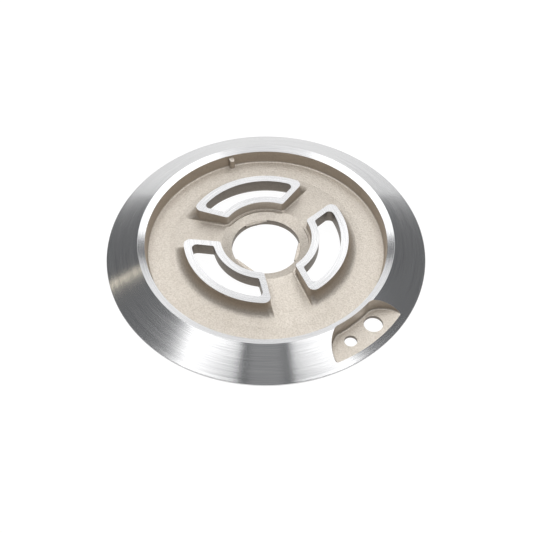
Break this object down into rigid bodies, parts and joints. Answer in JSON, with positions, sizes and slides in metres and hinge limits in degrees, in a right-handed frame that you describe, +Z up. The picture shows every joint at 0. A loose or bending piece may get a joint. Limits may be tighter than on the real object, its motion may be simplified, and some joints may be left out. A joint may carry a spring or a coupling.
{
  "type": "gas burner base ring",
  "caption": "Cast aluminium base ring of a gas hob burner: a turned bevel rim round a cast dish with raised gas slots, a central bore and a pocket for the igniter.",
  "frame": {"origin": "centre of the plane that the casting rests on, on the axis of the rim and the bore", "axes": "+Z up out of the dish; the first boss and the rib lie at 108 degrees from +X towards +Y, and the sensor pocket at -48.8 degrees"},
  "size_m": [0.15, 0.15, 0.0104],
  "materials": {
    "cast_aluminium": "as-cast matt skin, with the bevel, the land and the tops of the bosses turned bright"
  },
  "bodies": {
    "root": {"burner_base_casting": "cast_aluminium"}
  },
  "joints": []
}
